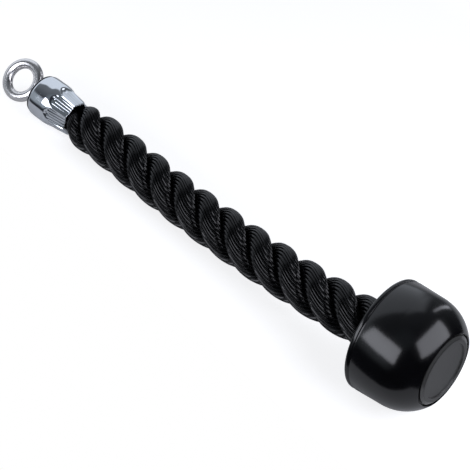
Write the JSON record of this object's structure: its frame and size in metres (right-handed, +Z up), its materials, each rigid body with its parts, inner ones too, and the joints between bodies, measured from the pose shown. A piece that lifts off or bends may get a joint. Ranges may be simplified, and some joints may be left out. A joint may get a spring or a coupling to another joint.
{
  "type": "triceps rope attachment",
  "caption": "Single-grip pull-down rope: twisted black rope with a swivelling steel eye crimped on one end and a rubber ball stop on the other.",
  "frame": {"origin": "on the floor below the middle of the whole part's box, with the part lying at rest", "axes": "+X along the rope from the eye to the ball, +Z up, +Y to the left of that run"},
  "size_m": [0.3316, 0.0626, 0.0648],
  "materials": {
    "chrome": "polished plate, faintly blue",
    "plain_steel": "plain, zinc grey",
    "black_nylon": "twisted filament yarn with a faint sheen",
    "black_rubber": "smooth, glossy moulded",
    "grey_plastic": "satin moulded"
  },
  "bodies": {
    "handle": {"eye_washer": "plain_steel", "ferrule": "chrome", "rope_strand_1": "black_nylon", "rope_strand_2": "black_nylon", "rope_strand_3": "black_nylon", "rubber_ball": "black_rubber", "thrust_washer": "plain_steel", "rope_sleeve": "plain_steel", "end_disc": "grey_plastic"},
    "eye": {"swivel_eye": "chrome"}
  },
  "joints": [
    {"name": "eye_swivel", "type": "hinge", "parent": "handle", "child": "eye", "pos_m": [-0.13686, -0.00314, 0.0137], "axis": [-0.9983, -0.0574, -0.001], "continuous": true}
  ]
}
